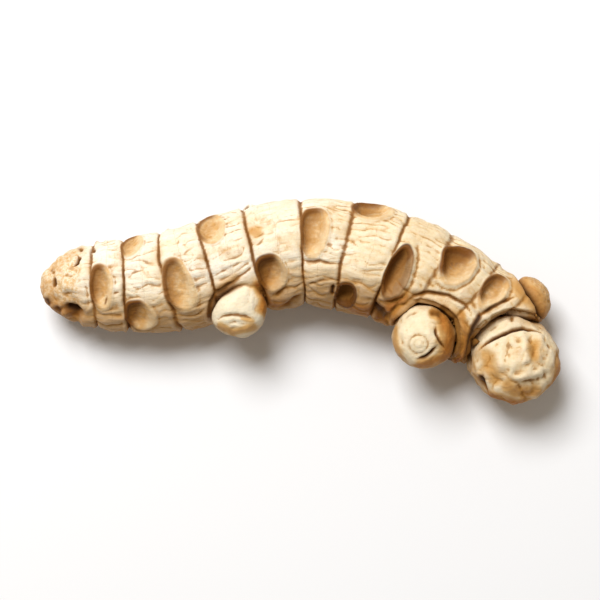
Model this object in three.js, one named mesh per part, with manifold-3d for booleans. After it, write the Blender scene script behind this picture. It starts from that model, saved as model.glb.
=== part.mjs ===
// A dried Solomon's seal root: one whole rhizome lying on its side, as dug, dried and put down.
// Millimetres, +Z up. The root lies along X, with its old broken tail at -X and its knobbed,
// budding head at +X. The origin is the middle of its footprint, on the surface that it rests on.
import * as THREE from "three";
import { mergeVertices } from "three/addons/utils/BufferGeometryUtils.js";
import Module from "manifold-3d";

const wasm = await Module();
wasm.setup();

// The growth line, from tail to head: the centre of the body at each station, and its half-width there.
const STATIONS = [
  { at: [-58, 2.5, 9], radius: 5.8 },
  { at: [-52.4, 3, 9.1], radius: 7.5 },
  { at: [-46.6, 3.4, 9.2], radius: 9.1 },
  { at: [-37.3, 3.6, 9.4], radius: 10.5 },
  { at: [-27.4, 4.9, 9.7], radius: 11.2 },
  { at: [-18.2, 7.2, 9.9], radius: 11.6 },
  { at: [-7.1, 9.9, 10.2], radius: 11.6 },
  { at: [1, 11.2, 10.5], radius: 11.8 },
  { at: [8.5, 10.6, 10.8], radius: 12.1 },
  { at: [17.8, 8.4, 11], radius: 12.6 },
  { at: [27.5, 4.8, 10.9], radius: 12.2 },
  { at: [35.8, -0.3, 10.6], radius: 12.0 },
  { at: [42.7, -6.1, 10.2], radius: 11.0 },
  { at: [47.1, -11.4, 9.8], radius: 9.0 },
];
const HEIGHT_SHARE = 0.88; // the body is a little flatter than it is wide
const TAIL_CAP = 6; // length over which the tail rounds off
const HEAD_CAP = 8; // length over which the head rounds off

// Yearly rings: a groove runs round the body at each of these distances along the growth line.
const RINGS = [11.4, 18.9, 28.2, 37.5, 48.7, 59.5, 69.1, 79.4, 88.8, 98.2, 106.4];
const RING_DEPTH = 0.45;
const RING_HALF_WIDTH = 0.7;
const RING_LEAN = 0.9; // how far a ring strays from square across the body
// How far each ring is set towards the head as well, on the +Y flank and on the -Y flank.
const RING_SHIFTS = [
  [1.2, 0.3],
  [0, 0],
  [0, 1.8],
  [0, 1.2],
  [0, 0],
  [0, 0],
  [1.3, -0.8],
  [0.6, 0],
  [0, 0],
  [0, 0],
  [0, 0],
];
const SWELL = 0.3; // how far the body bulges between two rings

// Stem scars, the "seals": oval hollows just past a ring, named by that ring's number from the tail.
// An angle of 0 is the +Y flank, 90 the top, 180 the -Y flank and 270 the underside.
const SCARS = [
  { ring: 0, angle: 95, along: 4.2, around: 8.8 },
  { ring: 0, angle: 228, along: 4.6, around: 7.6 },
  { ring: 1, angle: 32, along: 4.6, around: 6.6 },
  { ring: 1, angle: 137, along: 5.4, around: 7.2 },
  { ring: 1, angle: 304, along: 5.2, around: 8.0 },
  { ring: 2, angle: 101, along: 5.0, around: 10.6 },
  { ring: 2, angle: 212, along: 5.4, around: 8.0 },
  { ring: 3, angle: 38, along: 5.6, around: 8.4 },
  { ring: 3, angle: 290, along: 5.6, around: 9.2 },
  { ring: 4, angle: 113, along: 5.2, around: 7.4 },
  { ring: 4, angle: 222, along: 5.8, around: 9.4 },
  { ring: 5, angle: 71, along: 5.4, around: 10.4 },
  { ring: 5, angle: 322, along: 5.6, around: 8.4 },
  { ring: 6, angle: 24, along: 6.4, around: 8.2 },
  { ring: 6, angle: 141, along: 4.4, around: 6.4 },
  { ring: 6, angle: 250, along: 5.8, around: 9.4 },
  { ring: 7, angle: 97, along: 4.8, around: 11.0 },
  { ring: 7, angle: 330, along: 5.6, around: 9.0 },
  { ring: 8, angle: 60, along: 5.4, around: 9.6 },
  { ring: 8, angle: 268, along: 6.0, around: 9.6 },
  { ring: 9, angle: 58, along: 4.6, around: 8.8 },
];
const SCAR_DEPTH_SHARE = 0.34; // of the scar's length along the body
const SCAR_OVERLAP = 0.55; // how far a scar reaches into its ring's groove
const SCAR_LIFT = 0.5; // how far a cutting ellipsoid's centre stands off the skin

// Knobs: short side shoots, each an egg with its middle, half-sizes, and the way its tip points.
const KNOBS = {
  head_knob: { at: [48.1, -12.9, 10.5], half: [10, 10.2, 10.4], tip: [0.5, -0.6, 0.35] },
  side_knob: { at: [27.8, -8.1, 15.2], half: [7.1, 7.2, 7.4], tip: [-0.35, -0.75, 0.55] },
  shoulder_swelling: { at: [45.6, -3.4, 10.4], half: [9, 9, 9], tip: [0.78, 0.52, 0.1] },
  shoulder_knob: { at: [50.1, -0.9, 10], half: [5.9, 5.9, 6.6], tip: [0.78, 0.52, 0.1] },
  side_bud: { at: [-13.2, -1.3, 14.8], half: [6.1, 5.6, 7.2], tip: [-0.37, -0.88, -0.28] },
};

// Mesh fineness
const AROUND = 32;
const ROWS_BETWEEN_RINGS = 3;
const CAP_ROWS = 4;
const SCAR_SEGMENTS = [14, 8];
const KNOB_SEGMENTS = [20, 12];
const FLOOR_DEPTH = 10; // how far the trimming block reaches below the resting plane

const growthLine = new THREE.CatmullRomCurve3(
  STATIONS.map((s) => new THREE.Vector3(...s.at)),
  false,
  "catmullrom",
  0.5,
);
growthLine.arcLengthDivisions = 1200;
const LENGTH = growthLine.getLength();

// The radii share the growth line's own parameter, so that each station keeps its radius.
const radiusLine = new THREE.CatmullRomCurve3(
  STATIONS.map((s) => new THREE.Vector3(s.radius, 0, 0)),
  false,
  "catmullrom",
  0.5,
);

const smooth = (x) => x * x * (3 - 2 * x);

// 0 at an end of the body, rising to 1 over the length of its cap, as a quarter circle does.
function dome(distance, cap) {
  const share = Math.min(Math.max(distance / cap, 0), 1);
  return Math.sqrt(1 - (1 - share) ** 2);
}

// The frame of the body at a distance along it: centre, tangent, and the two ways across.
function frameAt(distance) {
  const share = THREE.MathUtils.clamp(distance / LENGTH, 0, 1);
  const parameter = growthLine.getUtoTmapping(share);
  const centre = growthLine.getPoint(parameter);
  const tangent = growthLine.getTangent(parameter);
  const side = new THREE.Vector3(0, 0, 1).cross(tangent).normalize();
  const up = tangent.clone().cross(side);
  const radius = radiusLine.getPoint(parameter).x;
  return { centre, tangent, side, up, radius };
}

// The rings' own shifts towards the head, blended between one ring and the next.
function shiftAt(distance, angle) {
  const flank = (1 - Math.cos(angle)) / 2;
  const shifts = RING_SHIFTS.map(([outer, inner]) => THREE.MathUtils.lerp(outer, inner, flank));
  const next = RINGS.findIndex((r) => r > distance);
  if (next === 0) return shifts[0];
  if (next < 0) return shifts.at(-1);
  const share = (distance - RINGS[next - 1]) / (RINGS[next] - RINGS[next - 1]);
  return THREE.MathUtils.lerp(shifts[next - 1], shifts[next], share);
}

// A ring isn't quite square across the body: this is how far it strays at each angle round it.
function lean(distance, angle) {
  const ends = smooth(Math.min(1, distance / TAIL_CAP, (LENGTH - distance) / HEAD_CAP));
  const wave = RING_LEAN * Math.sin(angle + 0.11 * distance) * Math.cos(0.23 * distance);
  return ends * (wave + shiftAt(distance, angle));
}

// The body's half-width once the rings, the swelling between them and the round ends are counted.
function radiusAt(distance, base) {
  let radius = base;
  const next = RINGS.findIndex((r) => r > distance);
  if (next > 0) {
    const share = (distance - RINGS[next - 1]) / (RINGS[next] - RINGS[next - 1]);
    radius += SWELL * Math.sin(Math.PI * share);
  }
  for (const ring of RINGS) {
    const off = Math.abs(distance - ring) / RING_HALF_WIDTH;
    if (off < 1) radius -= RING_DEPTH * (1 - smooth(off));
  }
  return radius * dome(distance, TAIL_CAP) * dome(LENGTH - distance, HEAD_CAP);
}

// A point of the body's skin, lifted off it by an extra height.
function skinPoint(distance, angle, lift = 0) {
  const f = frameAt(distance + lean(distance, angle));
  const radius = radiusAt(distance, f.radius) + lift;
  return f.centre
    .clone()
    .addScaledVector(f.side, radius * Math.cos(angle))
    .addScaledVector(f.up, radius * HEIGHT_SHARE * Math.sin(angle));
}

// Where the rows of the body's mesh lie: close together at both ends and at each ring.
function rowDistances() {
  const rows = [];
  for (let i = 1; i < CAP_ROWS; i++) {
    const share = 1 - Math.cos((i / CAP_ROWS) * (Math.PI / 2));
    rows.push(TAIL_CAP * share, LENGTH - HEAD_CAP * share);
  }
  rows.push(TAIL_CAP, TAIL_CAP + 2.5, LENGTH - HEAD_CAP);
  for (const [i, ring] of RINGS.entries()) {
    rows.push(ring - RING_HALF_WIDTH, ring, ring + RING_HALF_WIDTH);
    const next = RINGS[i + 1];
    if (!next) continue;
    const first = ring + RING_HALF_WIDTH;
    const span = next - ring - 2 * RING_HALF_WIDTH;
    for (let j = 1; j < ROWS_BETWEEN_RINGS; j++) rows.push(first + (span * j) / ROWS_BETWEEN_RINGS);
  }
  return [...new Set(rows)].sort((a, b) => a - b).filter((d, i, all) => !i || d - all[i - 1] > 0.25);
}

function bodyGeometry() {
  const positions = [];
  const faces = [];
  const rows = rowDistances();
  for (const distance of rows) {
    for (let j = 0; j < AROUND; j++) {
      positions.push(...skinPoint(distance, (2 * Math.PI * j) / AROUND).toArray());
    }
  }
  for (let i = 0; i + 1 < rows.length; i++) {
    for (let j = 0; j < AROUND; j++) {
      const k = (j + 1) % AROUND;
      const [a, b] = [i * AROUND + j, i * AROUND + k];
      const [c, d] = [a + AROUND, b + AROUND];
      faces.push(a, b, d, a, d, c);
    }
  }
  const tail = positions.length / 3;
  positions.push(...frameAt(0).centre.toArray(), ...frameAt(LENGTH).centre.toArray());
  const last = (rows.length - 1) * AROUND;
  for (let j = 0; j < AROUND; j++) {
    const k = (j + 1) % AROUND;
    faces.push(tail, k, j, tail + 1, last + j, last + k);
  }
  return new THREE.BufferGeometry()
    .setAttribute("position", new THREE.Float32BufferAttribute(positions, 3))
    .setIndex(faces);
}

// An ellipsoid with its third half-size along the way its tip points.
function egg([x, y, z], half, tip, [around, along], squareTo = new THREE.Vector3(0, 0, 1)) {
  const out = new THREE.Vector3(...tip).normalize();
  const across = squareTo.clone().cross(out).normalize();
  const third = out.clone().cross(across);
  const matrix = new THREE.Matrix4().makeBasis(
    across.multiplyScalar(half[0]),
    third.multiplyScalar(half[1]),
    out.multiplyScalar(half[2]),
  );
  return new THREE.SphereGeometry(1, around, along).applyMatrix4(matrix).translate(x, y, z);
}

// The ellipsoid that hollows one stem scar out of the skin.
function scarGeometry({ ring, angle, along, around }) {
  const radians = THREE.MathUtils.degToRad(angle);
  const distance = RINGS[ring] + RING_HALF_WIDTH - SCAR_OVERLAP + along / 2;
  const centre = skinPoint(distance, radians, SCAR_LIFT);
  const outward = centre.clone().sub(skinPoint(distance, radians));
  const { tangent } = frameAt(distance);
  const half = [around / 2, along / 2, along * SCAR_DEPTH_SHARE + SCAR_LIFT];
  return egg(centre.toArray(), half, outward.toArray(), SCAR_SEGMENTS, tangent);
}

function solid(geometry) {
  const bare = geometry.clone().deleteAttribute("normal").deleteAttribute("uv");
  const merged = mergeVertices(bare, 1e-4);
  return new wasm.Manifold(
    new wasm.Mesh({
      numProp: 3,
      vertProperties: merged.attributes.position.array,
      triVerts: new Uint32Array(merged.index.array),
    }),
  );
}

function geometryOf(manifold) {
  const mesh = manifold.getMesh();
  const geometry = new THREE.BufferGeometry()
    .setAttribute("position", new THREE.BufferAttribute(new Float32Array(mesh.vertProperties), 3))
    .setIndex(new THREE.BufferAttribute(mesh.triVerts, 1));
  geometry.computeVertexNormals();
  return geometry;
}

// The root dried lying down, so its lowest places are flat where they met the surface.
function floorBlock() {
  const size = 2 * LENGTH;
  return new THREE.BoxGeometry(size, size, FLOOR_DEPTH).translate(0, 0, -FLOOR_DEPTH / 2);
}

function rhizomeGeometry() {
  let root = solid(bodyGeometry());
  for (const { at, half, tip } of Object.values(KNOBS)) {
    root = root.add(solid(egg(at, half, tip, KNOB_SEGMENTS)));
  }
  for (const scar of SCARS) root = root.subtract(solid(scarGeometry(scar)));
  return geometryOf(root.subtract(solid(floorBlock())));
}

const driedSkin = new THREE.MeshStandardMaterial({ color: 0xe6cfa3, roughness: 0.72, metalness: 0 });

const rhizome = new THREE.Mesh(rhizomeGeometry(), driedSkin);
rhizome.name = "rhizome";

const root = new THREE.Group();
root.add(rhizome);

export default root;
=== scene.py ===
"""A dried Solomon's seal root: one knobbed, ringed rhizome lying on a pale floor in soft light.

The root's skin is worked out as a field in millimetres: a body swept along the growth line, joined
to its knobs. A surface net turns the field into one closed mesh, and the rings, stem scars,
wrinkles and cracks are then raised and sunk along its normals. Attributes on the mesh tell the
material where each of them lies.
"""

from itertools import product

import bpy
import numpy as np
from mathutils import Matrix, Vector


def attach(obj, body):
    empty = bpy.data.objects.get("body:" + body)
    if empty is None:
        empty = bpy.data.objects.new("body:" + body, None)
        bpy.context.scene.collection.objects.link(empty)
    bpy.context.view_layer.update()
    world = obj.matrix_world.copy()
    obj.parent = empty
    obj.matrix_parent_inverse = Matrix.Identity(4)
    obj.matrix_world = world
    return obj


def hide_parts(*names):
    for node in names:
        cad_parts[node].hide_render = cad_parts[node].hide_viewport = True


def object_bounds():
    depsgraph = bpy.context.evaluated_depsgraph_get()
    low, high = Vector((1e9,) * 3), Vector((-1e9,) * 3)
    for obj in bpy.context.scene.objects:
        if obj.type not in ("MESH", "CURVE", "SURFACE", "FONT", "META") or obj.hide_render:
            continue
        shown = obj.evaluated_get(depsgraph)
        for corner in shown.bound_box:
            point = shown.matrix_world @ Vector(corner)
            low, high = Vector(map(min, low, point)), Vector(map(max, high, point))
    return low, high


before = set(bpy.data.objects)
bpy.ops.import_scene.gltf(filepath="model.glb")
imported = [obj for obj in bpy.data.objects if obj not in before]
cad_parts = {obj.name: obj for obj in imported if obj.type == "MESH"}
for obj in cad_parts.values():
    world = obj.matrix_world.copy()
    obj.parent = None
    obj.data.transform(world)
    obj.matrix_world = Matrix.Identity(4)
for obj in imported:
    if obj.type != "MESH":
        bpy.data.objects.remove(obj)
CAD_LOW, CAD_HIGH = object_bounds()

# ---- Driving dimensions, in millimetres of the root's own frame ----

DRAWN_LENGTH = 116.24  # overall length along X
UNIT = (CAD_HIGH.x - CAD_LOW.x) / DRAWN_LENGTH  # metres for each of these millimetres

# The growth line, from tail to head: centre of the body (x, y, z) and its half-width.
STATIONS = np.array(
    [
        (-58.0, 2.5, 9.0, 5.8),
        (-52.4, 3.0, 9.1, 7.5),
        (-46.6, 3.4, 9.2, 9.1),
        (-37.3, 3.6, 9.4, 10.5),
        (-27.4, 4.9, 9.7, 11.2),
        (-18.2, 7.2, 9.9, 11.6),
        (-7.1, 9.9, 10.2, 11.6),
        (1.0, 11.2, 10.5, 11.8),
        (8.5, 10.6, 10.8, 12.1),
        (17.8, 8.4, 11.0, 12.6),
        (27.5, 4.8, 10.9, 12.2),
        (35.8, -0.3, 10.6, 12.0),
        (42.7, -6.1, 10.2, 11.0),
        (47.1, -11.4, 9.8, 9.0),
    ]
)
HEIGHT_SHARE = 0.88  # the body's height over its width
TAIL_CAP = 6.0
HEAD_CAP = 8.0

RINGS = np.array([11.4, 18.9, 28.2, 37.5, 48.7, 59.5, 69.1, 79.4, 88.8, 98.2, 106.4])
RING_STRENGTH = np.array([0.75, 1.0, 0.9, 0.95, 1.0, 1.0, 0.7, 0.85, 0.25, 0.25, 0.3])
RING_HALF_WIDTH = 0.7
RING_LEAN = 0.9
RING_TURN = 0.11  # radians that a ring's lean turns round the body for each millimetre along it
RING_SWAY = 0.23  # and how fast the lean grows and fades along the body
# How far each ring is set towards the head, on the +Y flank and on the -Y flank.
OUTER_SHIFTS = np.array([1.2, 0.0, 0.0, 0.0, 0.0, 0.0, 1.3, 0.6, 0.0, 0.0, 0.0])
INNER_SHIFTS = np.array([0.3, 0.0, 1.8, 1.2, 0.0, 0.0, -0.8, 0.0, 0.0, 0.0, 0.0])

# Stem scars: ring number, angle round the body in degrees, length along the body, length around it,
# how boxy (over 2) or pointed (under 2) the oval is, depth, how brown it is inside (which also sets
# how dark the painted shade on its wall turned from the lamp is), and how high its rim stands.
SCARS = (
    (0, 95, 4.2, 8.8, 1.9, 1.5, 0.7, 0.04),
    (0, 228, 4.6, 7.6, 2.0, 1.4, 0.4, 0.1),
    (1, 32, 4.6, 6.6, 2.0, 1.0, 0.35, 0.03),
    (1, 137, 5.4, 7.2, 2.1, 1.6, 1.0, 0.05),
    (1, 304, 5.2, 8.0, 1.9, 1.5, 0.4, 0.1),
    (2, 101, 5.0, 10.6, 2.0, 1.7, 0.55, 0.06),
    (2, 212, 5.4, 8.0, 2.0, 1.5, 0.5, 0.1),
    (3, 38, 5.6, 8.4, 1.8, 1.2, 0.25, 0.03),
    (3, 290, 5.6, 9.2, 2.0, 1.5, 0.4, 0.1),
    (4, 113, 5.2, 7.4, 2.0, 2.3, 1.1, 0.03),
    (4, 222, 5.8, 9.4, 1.9, 1.5, 0.4, 0.1),
    (5, 71, 5.4, 10.4, 2.1, 2.1, 0.6, 0.08),
    (5, 322, 5.6, 8.4, 2.0, 1.5, 0.4, 0.1),
    (6, 24, 6.4, 8.2, 1.9, 2.5, 0.7, 0.06),
    (6, 141, 4.4, 6.4, 2.1, 2.7, 1.7, 0.04),
    (6, 250, 5.8, 9.4, 2.0, 1.6, 0.4, 0.1),
    (7, 97, 4.8, 11.0, 1.7, 3.0, 1.3, 0.4),
    (7, 330, 5.6, 9.0, 1.9, 1.6, 0.4, 0.1),
    (8, 60, 5.4, 9.0, 1.8, 2.6, 1.0, 0.35),
    (8, 268, 6.0, 9.6, 2.0, 1.6, 0.5, 0.1),
    (9, 58, 4.6, 8.8, 1.65, 2.0, 0.55, 0.25),
)
SCAR_OVERLAP = 0.55  # each scar reaches this far over its ring
SCAR_REACH = 0.2  # each scar's wall leans out this far at the skin
RIM_WIDTH = 0.34
TAIL_SIDE_BOXY = 0.25  # a scar is this much boxier where it meets its ring


def circle(x, y, radius):
    """Points round a circle, for a round mark."""
    turns = np.linspace(0, 2 * np.pi, 17)
    return tuple((x + radius * np.cos(t), y + radius * np.sin(t)) for t in turns)


# The crack across the head knob, as seen from above.
HEAD_CRACK = (
    *((39.5, -11.7), (41.3, -9.8), (43.6, -8.5)),
    *((47.0, -7.0), (49.6, -6.4), (51.6, -6.6), (54.0, -7.4)),
)

# The crack on the body round the foot of the side knob.
COLLAR_CRACK = (
    *((22.6, -1.6), (25.2, 0.4), (28.4, 1.3)),
    *((32.8, 0.7), (36.6, -1.4), (38.2, -3.6)),
)

# Cracks, furrows, pits and ridges: points along each one as seen from above, then its half-width,
# its depth (less than 0 for a ridge) and how dark it is.
MARKS = (
    # head knob: the crack across it, ridges, furrows, pits and a round mark
    (HEAD_CRACK, 0.36, 0.8, 1.0),
    (((49.4, -8.4), (49.8, -10.8), (49.6, -13.3), (48.3, -15.8)), 0.8, -0.45, 0.0),
    (((55.1, -14.9), (51.7, -16.9), (47.5, -17.4)), 0.8, -0.4, 0.0),
    (((55.9, -16.1), (52.5, -18.2), (47.6, -18.8)), 0.6, 0.35, 0.25),
    (((46.4, -9.2), (45.4, -11.4), (46.4, -13.8)), 0.6, 0.25, 0.12),
    (((52.6, -9.4), (51.9, -12.4), (52.8, -15.0)), 0.7, 0.3, 0.18),
    (((42.4, -11.0), (42.2, -13.6), (43.4, -16.2)), 0.6, 0.22, 0.12),
    (circle(50.4, -19.7, 1.6), 0.5, 0.2, 0.12),
    (((44.6, -14.8), (46.6, -15.2)), 1.0, -0.35, 0.0),
    (((40.8, -4.9), (38.4, -8.4), (37.5, -12.0), (38.3, -15.6)), 0.6, 0.9, 1.0),
    (((54.9, -11.6), (54.6, -14.0)), 0.5, 0.25, 0.2),
    (((47.3, -4.5), (47.2, -5.0)), 0.5, 0.45, 0.6),
    (((42.0, -7.4), (44.2, -6.0)), 0.35, 0.22, 0.3),
    (((51.0, -9.0), (51.2, -9.3)), 0.6, 0.3, 0.25),
    (((55.2, -10.4), (55.3, -10.8)), 0.5, 0.35, 0.35),
    (((40.2, -17.6), (40.9, -19.2), (41.4, -20.4)), 0.7, 0.8, 0.9),
    # side knob: its bud scar, the crack beside that, and the fold under it
    (circle(26.1, -10.2, 2.1), 0.42, 0.3, 0.3),
    (circle(26.1, -10.2, 1.0), 0.34, 0.2, 0.22),
    (((30.0, -5.8), (30.1, -8.0), (30.9, -9.6), (32.4, -11.2)), 0.36, 0.6, 0.85),
    (((30.2, -10.6), (29.0, -12.1), (27.6, -13.0), (25.8, -13.5)), 0.4, 0.7, 0.95),
    (((29.8, -9.2), (28.9, -10.8)), 0.6, -0.25, 0.0),
    (((23.0, -4.8), (24.3, -3.6), (26.4, -2.8)), 0.35, 0.25, 0.35),
    (((29.6, -3.1), (30.8, -3.3)), 0.8, 0.35, 0.7),
    (((28.6, -5.2), (30.4, -5.6), (32.2, -5.2)), 0.35, 0.2, 0.3),
    (((22.2, -7.4), (22.8, -10.8)), 0.5, 0.25, 0.2),
    # bud: the folds across its tip and the crevice beside it
    (((-18.3, -4.6), (-17.0, -3.9), (-15.1, -3.6), (-12.0, -3.9), (-10.0, -4.6)), 0.4, 0.5, 0.55),
    (((-16.6, -5.9), (-14.2, -5.2), (-11.8, -5.6)), 0.45, 0.3, 0.3),
    (((-15.4, -6.6), (-13.4, -6.3)), 0.4, 0.2, 0.25),
    (((-20.6, -3.2), (-19.8, -0.8), (-18.0, 1.5), (-15.5, 3.2), (-13.0, 4.4)), 0.5, 0.7, 1.0),
    (((-14.6, 4.2), (-12.0, 5.7), (-10.2, 7.3)), 0.32, 0.35, 0.45),
    (((-18.3, 3.4), (-15.1, 5.3), (-12.2, 7.2), (-10.3, 8.8)), 0.4, 0.35, 0.25),
    (((-16.8, -1.2), (-15.4, 1.0), (-13.2, 2.4)), 0.6, 0.18, 0.08),
    (((-12.4, -2.4), (-11.2, 0.2), (-10.8, 2.2)), 0.6, 0.22, 0.12),
    (((-14.6, -2.2), (-13.6, 0.2)), 0.8, -0.2, 0.0),
    # tail: the crescent crack, the open hole and small pits
    (((-50.6, 7.6), (-49.6, 8.2), (-49.4, 9.4), (-50.0, 10.4)), 0.4, 0.9, 1.0),
    (((-51.0, 8.9), (-50.8, 9.3)), 0.7, -0.45, 0.0),
    (((-51.8, -2.2), (-50.2, -3.0)), 1.2, 2.2, 1.0),
    (((-54.6, 5.2), (-54.6, 3.6), (-55.0, 2.6)), 0.5, 0.7, 0.8),
    (((-46.3, 11.6), (-46.0, 11.0)), 0.4, 0.6, 0.8),
    (((-49.7, 11.9), (-49.2, 11.5)), 0.5, 0.5, 0.6),
    (((-56.6, 0.2), (-56.4, -0.6)), 0.6, 0.8, 0.8),
    (((-54.6, -1.9), (-54.0, -2.4)), 0.6, 0.8, 0.8),
    (((-55.9, 6.9), (-55.2, 6.1)), 0.5, 0.4, 0.4),
    (((-53.0, 1.2), (-50.6, 1.6), (-48.6, 1.2)), 0.4, 0.4, 0.3),
    (((-52.6, 5.6), (-50.2, 5.0)), 0.45, 0.35, 0.3),
    (((-47.6, 3.6), (-47.3, 1.4), (-47.0, -1.6)), 0.35, 0.3, 0.2),
    (((-42.8, 0.6), (-43.4, -1.6)), 0.3, 0.35, 0.6),
    # along the body: small cracks, furrows and rootlet pits
    (((-41.4, 1.1), (-39.9, 1.7)), 0.3, 0.35, 0.5),
    (((-6.2, -2.6), (-3.6, -1.6), (-1.2, 0.4), (1.0, 1.0)), 0.55, 0.55, 0.5),
    (((-5.6, 0.6), (-3.2, 2.4), (-1.4, 2.6)), 0.5, 0.45, 0.45),
    (((-5.4, -1.0), (-2.8, 0.7), (-0.6, 1.4)), 0.6, -0.45, 0.0),
    (((-0.4, 8.4), (2.9, 8.1), (4.7, 8.4), (6.7, 7.7), (8.9, 7.4)), 0.34, 0.4, 0.45),
    (((1.6, 3.4), (5.0, 4.2), (7.6, 4.2)), 0.34, 0.3, 0.35),
    (((7.6, 3.4), (7.2, 1.8), (7.3, 0.4)), 0.45, 0.7, 0.95),
    (((17.0, -2.4), (18.8, -3.8)), 1.2, 1.3, 0.9),
    (((20.6, -2.6), (21.6, -1.4)), 0.4, 0.5, 0.7),
    (((18.2, -0.6), (20.4, -0.9), (22.0, 0.2)), 0.45, 0.45, 0.5),
    (((21.4, 3.6), (23.8, 1.4)), 0.34, 0.35, 0.45),
    (((19.0, 2.2), (20.8, 0.6)), 0.34, 0.3, 0.4),
    (((39.4, -4.1), (42.6, -1.9), (45.6, -0.3), (48.0, 0.6)), 0.38, 0.7, 0.85),
    (COLLAR_CRACK, 0.42, 0.7, 0.85),
    (((28.8, 2.6), (30.6, 2.0)), 0.34, 0.25, 0.3),
    (((-31.6, 0.8), (-28.4, 2.2)), 0.3, 0.25, 0.3),
    (((-38.0, 5.6), (-34.4, 6.4)), 0.3, 0.25, 0.25),
    (((-38.2, 3.0), (-34.0, 3.8)), 0.3, 0.22, 0.25),
    (((-19.8, 4.4), (-15.0, 7.2), (-12.0, 8.4)), 0.32, 0.3, 0.35),
    (((-17.0, 2.2), (-12.6, 5.0)), 0.32, 0.3, 0.35),
)

# Brown stains, and brown painted shade on the knobs' sides turned from the lamp and in the cleft
# between them: points along each one as seen from above, its half-width and its strength.
STAINS_AND_SHADE = (
    # head knob: its lower rim and its right side, browned as painted shade where they turn from the
    # lamp, and two soft patches
    (((38.6, -17.5), (40.7, -20.8), (45.4, -22.8), (50.0, -23.4)), 1.3, 0.8),
    (((58.2, -12.5), (57.4, -18.3), (54.8, -21.9)), 1.1, 0.7),
    (((51.7, -10.6), (51.9, -12.8)), 1.7, 0.55),
    (((41.2, -12.4), (42.0, -15.0), (43.6, -17.6)), 1.7, 0.5),
    (((46.0, -19.0), (48.0, -20.8), (52.6, -20.4)), 1.5, 0.55),
    # side knob: its right side and its foot, brown of their own and browner still as painted shade
    # turned from the lamp, and a blotch near its top
    (((31.8, -3.8), (33.2, -8.2), (32.4, -12.0)), 2.1, 0.9),
    (((26.6, -14.8), (29.2, -14.0), (32.2, -12.6)), 1.2, 0.8),
    (((29.4, -3.0), (31.0, -3.2)), 0.9, 0.8),
    (((21.4, -6.4), (21.2, -10.0), (22.6, -13.2)), 0.7, 0.5),
    # the body beside the side knob, and the cleft between the knobs, where the brown is painted
    # shade
    (((32.6, -14.4), (34.8, -13.2), (37.0, -15.6)), 1.8, 1.0),
    (((35.6, -3.6), (36.8, -7.6), (36.4, -11.6)), 0.9, 0.7),
    (((18.0, -4.6), (20.2, -2.2), (22.8, 0.0)), 1.7, 0.7),
    (((12.0, -2.0), (15.4, -2.6)), 1.6, 0.5),
    # bud: its right side and its tip
    (((-9.0, 2.8), (-8.0, 0.4), (-8.0, -2.6)), 1.1, 0.95),
    (((-17.8, -6.0), (-14.6, -7.4), (-10.4, -6.2)), 0.9, 0.6),
    (((-12.6, -4.4), (-10.4, -5.0)), 0.6, 0.5),
    # shoulder knob: a brown cast all over
    (((50.0, 2.8), (53.0, 0.8), (54.4, -2.6)), 3.0, 0.6),
    # tail: a brown cast at its broken end
    (((-57.0, 3.6), (-54.6, -1.4), (-51.0, -3.4)), 1.8, 0.3),
    (((-55.2, 7.2), (-51.4, 10.6), (-49.0, 11.4)), 1.4, 0.25),
    # the body: patches beside rings and scars
    (((-10.6, 15.0), (-9.4, 14.6)), 1.2, 0.6),
    (((-27.0, 6.4), (-25.8, 2.2)), 1.1, 0.3),
    (((-18.0, 2.2), (-14.0, 4.6)), 1.0, 0.4),
    (((-6.0, -1.4), (-3.0, -1.2)), 1.2, 0.45),
    (((10.2, 2.8), (11.0, 0.0)), 1.2, 0.5),
)

# Crevices painted dark all the way down, as painted shade: points along each one from above, and
# its half-width.
CREVICES = (
    (((31.6, -1.9), (34.0, -3.9), (35.1, -6.6), (35.3, -9.6), (34.5, -12.6), (33.0, -14.6)), 0.55),
    (((39.6, -4.0), (38.2, -6.4), (37.4, -9.4), (37.3, -12.2), (36.9, -15.2), (37.4, -17.4)), 0.7),
    (((-20.4, -3.4), (-19.9, -1.2), (-18.4, 0.9), (-16.2, 2.5)), 0.45),
)
CREVICE_FLOOR = 5.0  # they aren't seen on skin lower than this

MARK_REACH = 2.6  # a mark is worked out only this far from its line
STAIN_REACH = 2.5  # and a brown patch this many half-widths from it
BLUNT = 4.0  # a mark with fewer half-widths than this to its length doesn't taper to its ends
STEEP = 0.25  # marks and stains fade on skin whose normal points up less than this
ROOTLETS = 44

# Where a knob grows out of the body without a furrow: the place seen from above, and its reach.
SMOOTH_JOINS = (((-9.9, 4.2), 3.2),)

# Knobs: middle, half-sizes (the third along the way its tip points), tip, and how much slimmer the
# knob is at its foot than at its tip.
KNOBS = {
    "head": ((48.1, -12.9, 10.5), (10.0, 10.2, 10.4), (0.5, -0.6, 0.35), 0.0),
    "side": ((27.8, -8.1, 15.2), (7.1, 7.2, 7.4), (-0.35, -0.75, 0.55), 0.0),
    "shoulder": ((50.1, -0.9, 10.0), (5.9, 5.9, 6.6), (0.78, 0.52, 0.1), 0.0),
    "bud": ((-13.2, -1.3, 14.8), (6.1, 5.6, 7.2), (-0.37, -0.88, -0.28), 0.22),
}

# Mesh fineness
CELL = 0.37
RELAX_ROUNDS = 6
RELAX_SHARE = 0.6  # of the way that a vertex could slide in one round
PROBE = 0.05  # how far apart the field is read to find its slope
LEAST_SLOPE = 0.3
FIELD_MARGIN = 1.6
COARSE = 4  # cells to a step of the first, coarse look at the field
COARSE_REACH = 3.5


# ---- Noise ----

NOISE_TABLE = np.random.RandomState(7).permutation(256)
NOISE_GRADIENTS = np.random.RandomState(11).normal(size=(256, 3))
NOISE_GRADIENTS /= np.linalg.norm(NOISE_GRADIENTS, axis=1)[:, None]


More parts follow.
